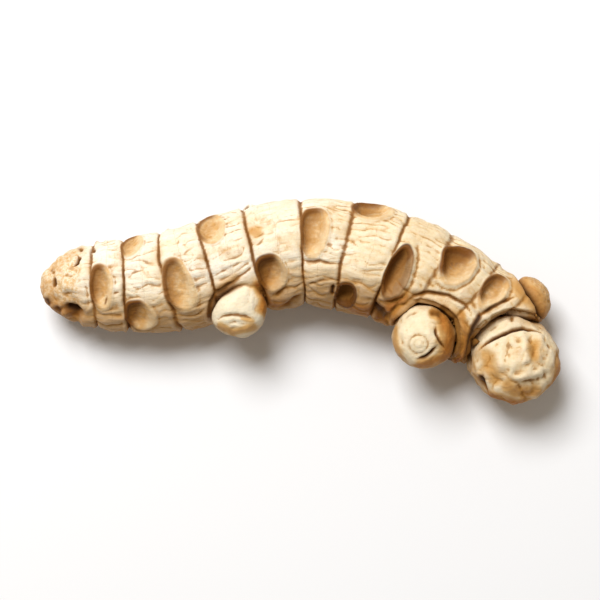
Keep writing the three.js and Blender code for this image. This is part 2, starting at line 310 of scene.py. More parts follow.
def noise(points, seed=0):
    """Gradient noise, about -1 to 1, with one bump per unit."""
    points = points + seed * np.array([17.31, 5.77, 29.13])
    cell = np.floor(points).astype(np.int64)
    inner = points - cell
    fade = inner**3 * (inner * (inner * 6 - 15) + 10)
    total = np.zeros(len(points))
    for corner in product((0, 1), repeat=3):
        x, y, z = (cell + corner).T & 255
        hashed = NOISE_TABLE[(NOISE_TABLE[(NOISE_TABLE[x] + y) & 255] + z) & 255]
        along = ((inner - corner) * NOISE_GRADIENTS[hashed]).sum(1)
        total += along * np.prod(np.where(corner, fade, 1 - fade), axis=1)
    return 1.6 * total


def layered(points, octaves, seed=0):
    """Noise with finer, weaker layers on top of it."""
    layers = [noise(points * 2**i, seed + i) * 0.5**i for i in range(octaves)]
    return sum(layers)


def ridged(points, octaves=1, seed=0):
    """Noise with sharp crests: 1 on a crest, falling away to both sides."""
    layers = [(1 - 2 * np.abs(noise(points * 2**i, seed + i))) * 0.5**i for i in range(octaves)]
    return sum(layers)


def smoothstep(low, high, x):
    share = np.clip((x - low) / (high - low), 0, 1)
    return share * share * (3 - 2 * share)


def bell(x, width):
    return np.exp(-((x / width) ** 2))


# ---- The growth line and the body around it ----

LINE_STEP = 0.05
LINE_OVERRUN = 14.0  # the line goes on straight this far past both ends


def catmull_rom(points, steps):
    """The curve that part.mjs sweeps the body along."""
    ends = np.vstack([2 * points[0] - points[1], points, 2 * points[-1] - points[-2]])
    t = np.linspace(0, 1, steps, endpoint=False)[:, None]
    spans = [
        0.5
        * (
            2 * b
            + (c - a) * t
            + (2 * a - 5 * b + 4 * c - d) * t**2
            + (3 * b - a - 3 * c + d) * t**3
        )
        for a, b, c, d in zip(ends, ends[1:], ends[2:], ends[3:])
    ]
    return np.vstack([*spans, points[-1:]])


def growth_line():
    """Rows of the line at even steps: distance, then centre, tangent, side, up and half-width."""
    fine = catmull_rom(STATIONS, 200)
    reach = np.r_[0, np.cumsum(np.linalg.norm(np.diff(fine[:, :3], axis=0), axis=1))]
    length = reach[-1]
    distance = np.arange(-LINE_OVERRUN, length + LINE_OVERRUN, LINE_STEP)
    row = [np.interp(distance, reach, fine[:, i]) for i in range(4)]
    centre = np.stack(row[:3], axis=1)
    slope = np.gradient(fine[:, :3], reach, axis=0)
    tangent = np.stack([np.interp(distance, reach, slope[:, i]) for i in range(3)], axis=1)
    tangent /= np.linalg.norm(tangent, axis=1)[:, None]
    past = distance - np.clip(distance, 0, length)
    centre += past[:, None] * tangent
    side = np.cross([0, 0, 1], tangent)
    side /= np.linalg.norm(side, axis=1)[:, None]
    up = np.cross(tangent, side)
    return distance, centre, tangent, side, up, row[3], length


LINE, CENTRE, TANGENT, SIDE, UP, HALF_WIDTH, LENGTH = growth_line()


def at(table, distance):
    """The table's value at each distance along the line."""
    place = (distance - LINE[0]) / LINE_STEP
    low = np.clip(place.astype(int), 0, len(LINE) - 2)
    share = np.clip(place - low, 0, 1)
    if table.ndim == 2:
        share = share[:, None]
    return table[low] * (1 - share) + table[low + 1] * share


def place_on_line(points):
    """Each point's distance along the line, and how far it is to the side of it and above it."""
    distance = np.interp(points[:, 0], CENTRE[:, 0], LINE)
    for _ in range(4):
        distance += ((points - at(CENTRE, distance)) * at(TANGENT, distance)).sum(1)
        distance = np.clip(distance, LINE[0], LINE[-1])
    offset = points - at(CENTRE, distance)
    aside = (offset * at(SIDE, distance)).sum(1)
    above = (offset * at(UP, distance)).sum(1)
    return distance, aside, above


def body_field(points):
    """Below 0 inside the smooth body, above 0 outside it, in about millimetres."""
    distance, aside, above = place_on_line(points)
    width = at(HALF_WIDTH, distance)
    tail = np.clip((TAIL_CAP - distance) / TAIL_CAP, 0, None)
    head = np.clip((distance - LENGTH + HEAD_CAP) / HEAD_CAP, 0, None)
    out = np.sqrt((aside / width) ** 2 + (above / width / HEIGHT_SHARE) ** 2 + tail**2 + head**2)
    return (out - 1) * width * (1 + HEIGHT_SHARE) / 2


def lean(distance, angle):
    """How far a ring strays from square across the body, as in part.mjs."""
    near_end = np.minimum(distance / TAIL_CAP, (LENGTH - distance) / HEAD_CAP)
    ends = smoothstep(0, 1, near_end)
    outer = np.interp(distance, RINGS, OUTER_SHIFTS)
    inner = np.interp(distance, RINGS, INNER_SHIFTS)
    shift = outer + (inner - outer) * (1 - np.cos(angle)) / 2
    wave = RING_LEAN * np.sin(angle + RING_TURN * distance) * np.cos(RING_SWAY * distance)
    return ends * (wave + shift)


# ---- Knobs ----


def knob_axes(tip):
    """Two ways across a knob and the way its tip points, as rows."""
    out = np.array(tip) / np.linalg.norm(tip)
    across = np.cross([0, 0, 1], out)
    across /= np.linalg.norm(across)
    return np.stack([across, np.cross(out, across), out])


def knob_local(points, name):
    """Points in the knob's own axes, over its half-sizes, so that its skin is at length 1."""
    middle, half, tip, taper = KNOBS[name]
    local = (points - np.array(middle)) @ knob_axes(tip).T / np.array(half)
    local[:, :2] /= 1 + taper * np.clip(local[:, 2:], -1, 1)
    return local


def knob_field(points, name):
    half = np.array(KNOBS[name][1])
    local = knob_local(points, name)
    reach = np.linalg.norm(local, axis=1)
    slope = np.linalg.norm(local / half, axis=1)
    return reach * (reach - 1) / np.maximum(slope, 1e-6)


# The body's end swells under the shoulder: the swelling's middle and half-sizes.
END_LOBE = ((45.6, -3.4, 10.4), (9.0, 9.0, 9.0))
LOBE_BLEND = 1.6

# Two knobs stand in a trench in the body: its depth, and where its wall starts and ends over the
# knob's radius.
TRENCHES = {"head": (8.0, 1.08, 0.95), "side": (3.0, 1.08, 0.97)}
TRENCH_FOOT = 5.0  # height that the trenches start at
TRENCH_TOP = 12.0  # height that they have their full depth from

KNOB_BLEND = 0.4  # rounding of the corner where a knob meets the body
SEAM_DEPTH = 1.2  # of the furrow in that corner
SEAM_WIDTH = 0.5
SEAM_REACH = 0.9  # half-width of the dark line in the furrow
SEAM_SMOOTHING = 3
# How far folds of skin stand up round each knob's foot.
COLLARS = {"head": 0.5, "side": 1.0, "shoulder": 0.15, "bud": 0.1}
FOLD_SPACING = 1.9  # from one fold of a collar to the next
FOLD_REACH = 3.2
# How brown the skin is round each knob's foot.
FOOT_BROWNS = np.array([1.0, 1.0, 0.8, 0.3])
FOOT_REACH = 2.6
FLOOR_ROUNDING = 0.25
SETTLING = 0.02  # the finished skin is let down this far, so that its lowest places are flat


def soft_min(a, b, blend):
    """The lower of the two, with the corner between them rounded."""
    near = np.clip(blend - np.abs(a - b), 0, None) / blend
    return np.minimum(a, b) - near**2 * blend / 4


def whole_body_field(points):
    """The body with the lobe at its head end, sunk beneath the head knob and the side knob."""
    middle, half = (np.array(values) for values in END_LOBE)
    local = (points - middle) / half
    lobe = (np.linalg.norm(local, axis=1) - 1) * half[2]
    joined = soft_min(body_field(points), lobe, LOBE_BLEND)
    raised = smoothstep(TRENCH_FOOT, TRENCH_TOP, points[:, 2])
    for name, (depth, start, end) in TRENCHES.items():
        knob_middle, knob_half = (np.array(values) for values in KNOBS[name][:2])
        across = np.linalg.norm((points - knob_middle)[:, :2], axis=1) / knob_half[0]
        joined = joined + depth * smoothstep(-start, -end, -across) * raised
    return joined


def furrowed_join(points):
    """1 where a knob meets the body in a furrow, and 0 where it grows smoothly out of it."""
    share = np.ones(len(points))
    for place, reach in SMOOTH_JOINS:
        share *= 1 - bell(np.linalg.norm(points[:, :2] - place, axis=1), reach)
    return share


def all_fields(points):
    """The body's field and each knob's, as columns."""
    return np.stack([whole_body_field(points), *(knob_field(points, k) for k in KNOBS)], axis=1)


def joined_field(points):
    """The body and knobs, with a furrow where two of them meet, cut off at the floor."""
    fields = all_fields(points)
    joined = fields[:, 0]
    furrow = SEAM_DEPTH * furrowed_join(points)
    for other in fields[:, 1:].T:
        gap = joined - other
        joined = soft_min(joined, other, KNOB_BLEND) + furrow * bell(gap, SEAM_WIDTH)
    floor = -points[:, 2]
    return np.logaddexp(joined / FLOOR_ROUNDING, floor / FLOOR_ROUNDING) * FLOOR_ROUNDING


# ---- From field to mesh ----


def surface_net(field, low, step):
    """Vertices and outward-facing quads of the field's zero surface."""
    inside = field < 0
    shape = np.array(field.shape)
    cells = shape - 1
    strides = np.array([cells[1] * cells[2], cells[2], 1])
    totals = np.zeros((4, cells.prod()))
    quads = []
    for axis in range(3):
        ahead = np.roll(inside, -1, axis)
        ahead_field = np.roll(field, -1, axis)
        crossing = inside != ahead
        index = [slice(1, -1)] * 3
        keep = np.zeros_like(crossing)
        keep[tuple(index)] = True
        i = np.argwhere(crossing & keep)
        here = tuple(i.T)
        share = field[here] / (field[here] - ahead_field[here])
        place = i.astype(float)
        place[:, axis] += share
        u, v = (axis + 1) % 3, (axis + 2) % 3
        around = []
        for du, dv in ((0, 0), (-1, 0), (-1, -1), (0, -1)):
            corner = i.copy()
            corner[:, u] += du
            corner[:, v] += dv
            around.append(corner @ strides)
        quad = np.stack(around, axis=1)
        flip = ~inside[here]
        quad[flip] = quad[flip][:, ::-1]
        quads.append(quad)
        for column in quad.T:
            totals[3] += np.bincount(column, minlength=totals.shape[1])
            for k in range(3):
                totals[k] += np.bincount(column, place[:, k], totals.shape[1])
    used = np.flatnonzero(totals[3])
    vertices = (totals[:3, used] / totals[3, used]).T * step + low
    number = np.full(totals.shape[1], -1)
    number[used] = np.arange(len(used))
    return vertices, number[np.vstack(quads)]


def outer_skin(points, quads):
    """The largest connected surface alone, without the bubbles left under a closed furrow."""
    label = np.arange(len(points))
    while True:
        spread = label.copy()
        np.minimum.at(spread, quads.ravel(), np.repeat(label[quads].min(axis=1), 4))
        spread = spread[spread]
        if (spread == label).all():
            break
        label = spread
    keep = label == np.bincount(label).argmax()
    number = np.cumsum(keep) - 1
    return points[keep], number[quads[keep[quads[:, 0]]]]


def vertex_normals(points, quads):
    """Area-weighted normals of the vertices."""
    a, b, c, d = (points[quads[:, i]] for i in range(4))
    face = np.cross(c - a, d - b)
    sums = [np.bincount(quads.ravel(), np.repeat(part, 4), len(points)) for part in face.T]
    total = np.stack(sums, axis=1)
    return total / np.linalg.norm(total, axis=1)[:, None]


def onto_surface(points, normal):
    """The points moved along their normals to where the field is 0."""
    here = joined_field(points)
    slope = (joined_field(points + PROBE * normal) - here) / PROBE
    move = np.clip(here / np.maximum(slope, LEAST_SLOPE), -CELL, CELL)
    return points - move[:, None] * normal


def neighbours(quads, count):
    """Each edge once, from both of its ends, and how many edges meet at each vertex."""
    edges = np.vstack([quads[:, [i, (i + 1) % 4]] for i in range(4)])
    edges = np.unique(np.sort(edges, axis=1), axis=0)
    start = np.r_[edges[:, 0], edges[:, 1]]
    end = np.r_[edges[:, 1], edges[:, 0]]
    return start, end, np.bincount(start, minlength=count)


def averaged(values, links):
    """The mean of each vertex's neighbours."""
    start, end, degree = links
    columns = values.reshape(len(degree), -1)
    sums = [np.bincount(start, column[end], len(degree)) / degree for column in columns.T]
    return np.stack(sums, axis=1).reshape(values.shape)


def sampled_field(grid):
    """The field on the grid, worked out exactly only where it may be near 0."""
    coarse = grid[::COARSE, ::COARSE, ::COARSE]
    field = joined_field(coarse.reshape(-1, 3)).reshape(coarse.shape[:3])
    for axis, count in enumerate(grid.shape[:3]):
        field = np.repeat(field, COARSE, axis).take(range(count), axis)
    near = np.abs(field) < COARSE_REACH
    field[near] = joined_field(grid[near])
    return field


def base_mesh():
    """The smooth root's vertices, outward normals, quads and links."""
    half = STATIONS[:, 3].max() + FIELD_MARGIN
    low = np.array([STATIONS[0, 0] - FIELD_MARGIN, -half * 2, -FIELD_MARGIN])
    high = np.array([-low[0] + FIELD_MARGIN, half * 2, 2 * half - FIELD_MARGIN])
    axes = [np.arange(a, b, CELL) for a, b in zip(low, high)]
    grid = np.stack(np.meshgrid(*axes, indexing="ij"), axis=-1)
    field = sampled_field(grid)
    points, quads = outer_skin(*surface_net(field, low, CELL))
    links = neighbours(quads, len(points))
    for _ in range(RELAX_ROUNDS):
        normal = vertex_normals(points, quads)
        points = onto_surface(points, normal)
        pull = averaged(points, links) - points
        points = points + RELAX_SHARE * (pull - (pull * normal).sum(1)[:, None] * normal)
    normal = vertex_normals(points, quads)
    points = onto_surface(points, normal)
    return points, vertex_normals(points, quads), quads, links


# ---- The skin's detail ----


def ring_place(points):
    """Distance in ring order, angle, distance along the line and half-width, for each point."""
    distance, aside, above = place_on_line(points)
    angle = np.arctan2(above / HEIGHT_SHARE, aside)
    rank = distance.copy()
    for _ in range(4):
        rank = distance - lean(rank, angle)
    return rank, angle, distance, at(HALF_WIDTH, np.clip(distance, 0, LENGTH))


def scar_fields(rank, angle, width):
    """For each scar: its reach (1 at its wall's top), half-length along the body, and row."""
    for row in SCARS:
        ring, degrees, along, around, boxy = row[:5]
        middle = RINGS[ring] + RING_HALF_WIDTH - SCAR_OVERLAP + along / 2
        turn = np.radians(degrees)
        stretch = np.hypot(np.sin(turn), HEIGHT_SHARE * np.cos(turn))
        swing = (angle - turn + np.pi) % (2 * np.pi) - np.pi
        half = along / 2 + SCAR_REACH
        u = (rank - middle) / half
        v = swing * width * stretch / (around / 2 + SCAR_REACH)
        power = np.where(u < 0, boxy + TAIL_SIDE_BOXY, boxy)
        yield (np.abs(u) ** power + np.abs(v) ** power) ** (1 / power), u, v, half, row


def along_line(place, line):
    """How far each place is from the line, and how far along it, from 0 to 1, the nearest point."""
    spans = np.linalg.norm(np.diff(line, axis=0), axis=1)
    closest = np.full(len(place), np.inf)
    reached = np.zeros(len(place))
    begun = 0.0
    for start, end, span in zip(line, line[1:], spans):
        way = end - start
        share = np.clip(((place - start) @ way) / span**2, 0, 1)
        away = np.linalg.norm(place - start - share[:, None] * way, axis=1)
        reached = np.where(away < closest, begun + share * span, reached)
        closest = np.minimum(closest, away)
        begun += span
    return closest, reached / begun


def seen_near(points, normal, line, reach):
    """The points near a line seen from above.

    With them come how far each is from the line, how far along it, and 1 where its skin faces up,
    falling to 0 where it is upright.
    """
    low = line.min(0) - reach
    high = line.max(0) + reach
    plan = points[:, :2]
    near = np.flatnonzero(((plan > low) & (plan < high)).all(1) & (normal[:, 2] > 0))
    away, reached = along_line(plan[near], line)
    return near, away, reached, smoothstep(0.0, STEEP, normal[near, 2])


def marks_seen(points, normal):
    """How deep the marks cut the skin, and how dark they make it."""
    depth = np.zeros(len(points))
    dark = np.zeros(len(points))
    for line, half, deep, darkness in MARKS:
        line = np.array(line)
        near, away, reached, facing = seen_near(points, normal, line, MARK_REACH)
        wobble = 1 + 0.25 * noise(points[near] / 1.7, seed=21)
        blunt = np.allclose(line[0], line[-1]) or np.ptp(line, axis=0).max() < BLUNT * half
        ends = 1.0 if blunt else smoothstep(-0.12, 0.3, np.minimum(reached, 1 - reached))
        shape = bell(away / wobble, half * (0.6 + 0.5 * ends)) * ends * facing
        depth[near] += deep * shape
        dark[near] = np.maximum(dark[near], darkness * shape)
    return depth, dark


def stains_and_shade_seen(points, normal):
    """How brown the stains and the painted shade make the skin."""
    brown = np.zeros(len(points))
    for line, half, strength in STAINS_AND_SHADE:
        reach = STAIN_REACH * half
        near, away, _, facing = seen_near(points, normal, np.array(line), reach)
        ragged = away * (1 + 0.5 * noise(points[near] / 2.2, seed=23)) / half
        brown[near] = np.maximum(brown[near], strength * bell(ragged, 1.1) * facing)
    return brown


def crevices_seen(points):
    """How dark the painted shade in the crevices makes the skin."""
    dark = np.zeros(len(points))
    raised = np.flatnonzero(points[:, 2] > CREVICE_FLOOR)
    for line, half in CREVICES:
        away, _ = along_line(points[raised, :2], np.array(line))
        dark[raised] = np.maximum(dark[raised], bell(away, half))
    return dark


# The body's relief, in millimetres
LUMP_HEIGHT = 0.42
LUMP_SIZE = 8
SWELL = 0.35  # how far each segment bulges between its rings
GROOVE_DEPTH = 0.7
GROOVE_WIDTH = 0.42
DIP_DEPTH = 0.22  # of the broad dip that a groove lies in
DIP_WIDTH = 1.3
LIP_OFFSET = 0.75  # from a groove to the lip on its tail side
LIP_WIDTH = 0.4
PATCH_SIZE = 5.0  # of the stretches where a ring strays, and where it is firm or faint
NO_SCAR = 3.0  # the value of the mask "seal" away from the scars
NO_RING = 5.0  # the value of the mask "ring" on the knobs
FULL_HOLLOW = 0.16  # how deep a small hollow is where the mask "hollow" nears 1
DISH = 0.22  # share of a scar's depth that its floor rises by at the wall's foot
OUTLINE_OFFSET = 0.8  # from a scar's edge to the faint line round it
OUTLINE_WIDTH = 0.28
BROKEN_END = (7.0, 10.5)  # the broken tail fades out between these distances


def ring_relief(turned, place, angle):
    """How far past its nearest ring each point is, how firm that is, its groove and its lip.

    A ring is a thin groove that comes and goes, in a broad shallow dip, with a lip behind it.
    """
    to_ring = place - RINGS[:, None]
    nearest = np.abs(to_ring).argmin(0)
    off = to_ring[nearest, np.arange(len(place))]
    strength = RING_STRENGTH[nearest]
    firm = smoothstep(-0.75, 0.15, noise(turned / PATCH_SIZE, seed=5))
    firm = firm * strength * (0.7 - 0.3 * np.cos(angle))
    groove = GROOVE_DEPTH * (0.3 * strength + 0.7 * firm) * bell(off, GROOVE_WIDTH)
    groove += DIP_DEPTH * (0.4 + 0.6 * strength) * bell(off, DIP_WIDTH)
    lip = (0.12 + 0.4 * np.cos(angle) ** 4) * firm * bell(off + LIP_OFFSET, LIP_WIDTH)
    return off, firm, groove, lip


def scar_relief(turned, place, angle, width):
    """How deep the stem scars are, how high their rims stand, and the masks that show them.

    A scar is a steep wall round a dished floor, with a thin rim and a faint line round that.
    """
    count = len(place)
    bowl = np.zeros(count)
    rim = np.zeros(count)
    seal = np.full(count, NO_SCAR)
    lit = np.zeros(count)
    stain = np.zeros(count)
    outline = np.zeros(count)
    wobble = 1 + 0.05 * noise(turned / 2.5, seed=6)
    pitted = 0.1 * ridged(turned / 1.4, 2, seed=14)
    for reach, u, v, half, row in scar_fields(place, angle, width):
        deep, brown, raised = row[5:]
        reach = reach * wobble
        out = (reach - 1) * half
        floor = 1 - DISH * np.clip(reach / 0.8, 0, 1) ** 2
        facing = u + 0.6 * v
        foot = 0.64 - 0.44 * smoothstep(-0.3, 0.9, facing)
        wall = 1 - np.clip((reach - foot) / (1 - foot), 0, 1) ** 1.8
        tilt = 1 - 0.35 * np.clip(u, -1, 1)
        bowl += deep * floor * wall * tilt - pitted * wall
        rim += raised * bell(out - 0.2, RIM_WIDTH + 0.6 * raised)
        ring_round = bell(out - OUTLINE_OFFSET - 1.1 * raised, OUTLINE_WIDTH)
        ring_round *= smoothstep(-0.9, 0.6, u + 0.5 * v) * (0.25 + 1.6 * raised)
        outline = np.maximum(outline, ring_round)
        # lit runs towards the scar's side that faces the lamp; the material paints highlight and
        # shade from it, and from the scar's brownness.
        closer = out < seal
        lit = np.where(closer, facing, lit)
        stain = np.where(closer, brown, stain)
        seal = np.minimum(seal, out)
    rim -= 0.3 * outline
    return bowl, rim, {"seal": seal, "scar_lit": lit, "scar_brown_and_shade": stain, "scar_line": outline}


def wrinkles(points, turned, segment, angle, distance):
    """How far the wrinkles stand out. They run along the body and start afresh in each segment."""
    bend = 0.5 * noise(turned / 3.4, seed=8)
    sideways = bend[:, None] * np.array([0, 1, 1])
    start = segment[:, None] * np.array([7.7, 0, 0])
    lower = 0.6 - 0.45 * np.cos(angle)
    furrowed = smoothstep(-0.35, 0.8, noise(turned / 7, seed=9) + lower)
    ribs = 0.32 * noise(turned / np.array([7.0, 1.5, 1.5]) + start + sideways, seed=10)
    along = ridged(turned / np.array([6.5, 1.9, 1.9]) + start + sideways, 1, seed=11)
    furrows = 0.24 * smoothstep(0.3, 1.0, along)
    headward = smoothstep(0.42, 0.7, distance / LENGTH)
    patchy = smoothstep(-0.35, 0.45, noise(points / 6, seed=13) + 0.5 * headward)
    net = ridged(turned / np.array([3.0, 2.2, 2.2]) + 1.2 * bend[:, None], 1, seed=12)
    fine = ridged(turned / np.array([1.6, 1.1, 1.1]), 1, seed=18)
    crinkles = patchy * (0.06 * smoothstep(0.1, 1.0, net) + 0.07 * fine)
    return (ribs - furrows) * (0.2 + 0.8 * furrowed) - crinkles


def body_detail(points, rank, angle, distance, width, calm):
    """How far the skin stands out, in millimetres, and the masks that the material reads."""
    turned = np.stack(
        [distance, width * np.cos(angle), width * HEIGHT_SHARE * np.sin(angle)], axis=1
    )
    segment = np.searchsorted(RINGS, rank)
    edges = np.r_[0, RINGS, LENGTH]
    share = (rank - edges[segment]) / (edges[segment + 1] - edges[segment])
    lumps = LUMP_HEIGHT * layered(points / LUMP_SIZE, 2, seed=1)
    swell = SWELL * np.sin(np.pi * np.clip(share, 0, 1)) ** 0.6
    place = rank + 0.4 * noise(turned / PATCH_SIZE, seed=3)
    off, firm, groove, lip = ring_relief(turned, place, angle)
    bowl, rim, scar_masks = scar_relief(turned, place, angle, width)
    outside = smoothstep(-0.1, 0.8, scar_masks["seal"])
    skin = wrinkles(points, turned, segment, angle, distance)

    # The old tail is broken and rough.
    broken = 1 - smoothstep(*BROKEN_END, rank + 1.5 * noise(turned / 3, seed=15))
    cracks = smoothstep(0.3, 1.0, ridged(points / 3.6, 1, seed=16))
    rough = broken * (0.9 * layered(points / 4.6, 2, seed=17) - 0.15 * cracks)
    skin = skin * (1 - broken) * (0.15 + 0.85 * calm)
    stand = lumps + swell - groove * outside - 0.1 * groove + outside * (lip + skin)
    stand += rough + rim - bowl
    masks = {"ring": off, "ring_firm": firm, "broken": broken, **scar_masks}
    return stand, masks, turned


KNOB_PALENESS = {"head": 0.15, "side": 0.35, "shoulder": 0.0, "bud": 0.6}

# For each knob: how far its folds, lumps and fine wrinkles stand out.
KNOB_SKIN = {
    "head": (0.44, 0.6, 0.06),
    "side": (0.16, 0.35, 0.08),
    "shoulder": (0.1, 0.35, 0.2),
    "bud": (0.16, 0.3, 0.08),
}


def knob_detail(points, name):
    """How far a knob's skin stands out: soft lumps and folds, and a finely wrinkled skin."""
    size = np.mean(KNOBS[name][1])
    seed = 30 + 7 * list(KNOBS).index(name)
    bend = 0.6 * noise(points / 3.5, seed + 2)
    folds = noise(points / np.array([2.4, 4.4, 3.2]) + bend[:, None], seed + 3)
    folds += 0.5 * noise(points / 1.9 + bend[:, None], seed + 8)
    folds -= 0.25 * smoothstep(0.3, 1.0, ridged(points / 4.0 + bend[:, None], 1, seed=seed + 6))
    lumps = layered(points / (0.7 * size), 2, seed + 4)
    fine = ridged(points / 1.1, 1, seed=seed + 5)
    weights = KNOB_SKIN[name]
    if name == "head":
        past_crack = np.interp(points[:, 0], *np.transpose(HEAD_CRACK)) - points[:, 1]
        folds *= 0.25 + 0.75 * smoothstep(-1.0, 2.0, past_crack)
    return weights[0] * folds + weights[1] * lumps + weights[2] * fine


def rootlet_scars(points):
    """Small nubs and pits where rootlets grew: how far they stand out, and how dark they are."""
    random = np.random.RandomState(5)
    stand = np.zeros(len(points))
    dark = np.zeros(len(points))
    for i in range(ROOTLETS):
        distance = RINGS[random.randint(len(RINGS))] + random.normal(1.2, 1.6)
        angle = np.radians(random.uniform(170, 372))
        width = at(HALF_WIDTH, np.array([distance]))
        offset = np.cos(angle) * at(SIDE, np.array([distance]))
        offset += HEIGHT_SHARE * np.sin(angle) * at(UP, np.array([distance]))
        place = at(CENTRE, np.array([distance])) + width[:, None] * offset
        size = random.uniform(0.45, 0.85)
        near = np.flatnonzero((np.abs(points - place) < 3).all(1))
        away = np.linalg.norm(points[near] - place, axis=1) / size
        if i % 3:
            stand[near] += 0.3 * bell(away - 1.2, 0.5) - 0.7 * bell(away, 0.8)
            dark[near] = np.maximum(dark[near], bell(away, 0.9))
        else:
            stand[near] += 0.9 * size * bell(away, 1.0)
            dark[near] = np.maximum(dark[near], 0.5 * bell(away, 0.7))
    return stand, dark


def detail_root(points, normal, links):
    """Raises and sinks the skin, and returns its new points with the material's masks."""
    fields = all_fields(points)
    owner = fields.argmin(1)
    rank, angle, distance, width = ring_place(points)
    calm = smoothstep(0.4, 2.6, fields[:, 1:].min(1))
    stand, masks, turned = body_detail(points, rank, angle, distance, width, calm)
    ordered = np.sort(fields, axis=1)
    gap = ordered[:, 1] - ordered[:, 0]
    furrow = furrowed_join(points)
    seam = bell(gap, SEAM_REACH)

    # Folds of skin stand round the foot of each knob.
    for i, (name, strength) in enumerate(COLLARS.items(), start=1):
        fold = np.clip(fields[:, i], 0, 8)
        wave = np.cos(2 * np.pi * (fold - 1.0) / FOLD_SPACING + 0.8 * noise(points / 4, 24 + i))
        collar = strength * 0.5 * wave * bell(fold, FOLD_REACH) * smoothstep(0, 0.6, fold)
        stand = stand + np.where(owner == 0, collar * furrow, 0)
    for i, name in enumerate(KNOBS, start=1):
        mine = owner == i
        stand[mine] = knob_detail(points[mine], name)
    cut, cracks_and_crevice_shade = marks_seen(points, normal)
    nubs, spots = rootlet_scars(points)
    clear = smoothstep(0.5, 1.5, masks["seal"])
    stand += nubs * clear - cut
    spots *= clear
    # The crevices' dark, joined to the cracks and rootlet pits here, is painted shade.
    cracks_and_crevice_shade = np.maximum.reduce([cracks_and_crevice_shade, spots, crevices_seen(points)])
    masks["ring"][owner > 0] = NO_RING
    masks["seal"][owner > 0] = NO_SCAR
    masks["scar_line"][owner > 0] = 0.0
    masks["broken"][owner > 0] = 0.0
    points = points + normal * stand[:, None]
    for _ in range(SEAM_SMOOTHING):
        points += 0.5 * np.clip(seam * 1.5, 0, 1)[:, None] * (averaged(points, links) - points)
    points[:, 2] = np.maximum(points[:, 2] - SETTLING, 0)
    masks["seam"] = seam * furrow
    foot = FOOT_BROWNS[fields[:, 1:].argmin(1)] * np.where(owner == 0, 1.0, 0.5)
    masks["foot"] = bell(gap, FOOT_REACH) * foot * furrow
    masks["stain_and_shade"] = stains_and_shade_seen(points, normal)
    masks["cracks_and_crevice_shade"] = cracks_and_crevice_shade
    masks["pale"] = np.array([0, *KNOB_PALENESS.values()])[owner]
    masks["growth"] = distance / LENGTH
    # Painted shade: the body's -Y flank and underside, and the knobs' down-turned skin, all turned
    # from the lamp, are marked here for the material to brown.
    shade_side = smoothstep(0.1, 0.95, -np.cos(angle)) + smoothstep(0.3, -0.6, normal[:, 2])
    masks["lower"] = np.where(owner == 0, shade_side, smoothstep(0.7, -0.4, normal[:, 2]))
    own = turned.copy()
    own[owner > 0] = points[owner > 0]
    return points, masks, own


def hollowness(points, quads, links):
    """About -1 on a crest to 1 in a hollow, from how the finished skin bends at two scales."""
    normal = vertex_normals(points, quads)
    found = np.zeros(len(points))
    smooth = points
    for rounds, weight in ((2, 1.0), (10, 0.6)):
        for _ in range(rounds):
            smooth = averaged(smooth, links)
        found += weight * ((smooth - points) * normal).sum(1)
    return np.tanh(found / FULL_HOLLOW)


# ---- The piece ----


def make_root():
    points, normal, quads, links = base_mesh()
    points, masks, own = detail_root(points, normal, links)
    masks["hollow"] = hollowness(points, quads, links)
    mesh = bpy.data.meshes.new("rhizome_skin")
    mesh.from_pydata((points * UNIT).tolist(), [], quads.tolist())
    mesh.shade_smooth()
    for name, values in masks.items():
        layer = mesh.attributes.new(name, "FLOAT", "POINT")
        layer.data.foreach_set("value", values.astype(np.float32))
    layer = mesh.attributes.new("grain", "FLOAT_VECTOR", "POINT")
    layer.data.foreach_set("vector", own.astype(np.float32).ravel())
    mesh.validate()
    mesh.update()
    piece = bpy.data.objects.new("rhizome_skin", mesh)
    bpy.context.scene.collection.objects.link(piece)
    print("root skin:", len(points), "vertices,", 2 * len(quads), "triangles")
    return piece


# ---- Material ----


class Graph:
    """Short ways to add and join shader nodes."""

    def __init__(self, material):
        material.use_nodes = True
        self.nodes = material.node_tree.nodes
        self.links = material.node_tree.links
        self.nodes.clear()

    def add(self, kind, values=None, **settings):
        node = self.nodes.new(kind)
        for key, value in settings.items():
            setattr(node, key, value)
        for key, value in (values or {}).items():
            self.set(node.inputs[key], value)
        return node

    def set(self, socket, value):
        if isinstance(value, bpy.types.NodeSocket):
            self.links.new(value, socket)
        else:
            socket.default_value = value

    def attribute(self, name, output="Fac"):
        return self.add("ShaderNodeAttribute", attribute_name=name).outputs[output]

    def math(self, operation, a, b=0.0, clamp=False):
        values = {0: a, 1: b}
        return self.add("ShaderNodeMath", values, operation=operation, use_clamp=clamp).outputs[0]

    def times(self, a, b):
        return self.math("MULTIPLY", a, b)

    def plus(self, a, b, clamp=False):
        return self.math("ADD", a, b, clamp)

    def between(self, value, low, high, to_low=0.0, to_high=1.0):
        values = {"Value": value, 1: low, 2: high, 3: to_low, 4: to_high}
        node = self.add("ShaderNodeMapRange", values, interpolation_type="SMOOTHSTEP")
        return node.outputs[0]

    def noise(self, vector, scale, detail=4.0, roughness=0.55, distortion=0.0):
        values = {
            "Vector": vector,
            "Scale": scale,
            "Detail": detail,
            "Roughness": roughness,
            "Distortion": distortion,
        }
        return self.add("ShaderNodeTexNoise", values).outputs["Fac"]

    def stretched(self, vector, scale):
        values = {"Vector": vector, "Scale": scale}
        node = self.add("ShaderNodeMapping", values, vector_type="TEXTURE")
        return node.outputs[0]

    def mix(self, share, a, b, blend="MIX"):
        node = self.add("ShaderNodeMix", data_type="RGBA", blend_type=blend)
        self.set(node.inputs["Factor"], share)
        self.set(node.inputs["A"], a)
        self.set(node.inputs["B"], b)
        return node.outputs["Result"]


def linear(red, green, blue):
    """A colour given as it shows on a screen, 0 to 255, in the shader's own terms."""
    shown = np.array([red, green, blue]) / 255
    low = shown / 12.92
    high = ((shown + 0.055) / 1.055) ** 2.4
    return (*np.where(shown <= 0.04045, low, high).tolist(), 1.0)


MILLIMETRES = 1000.0  # to a metre

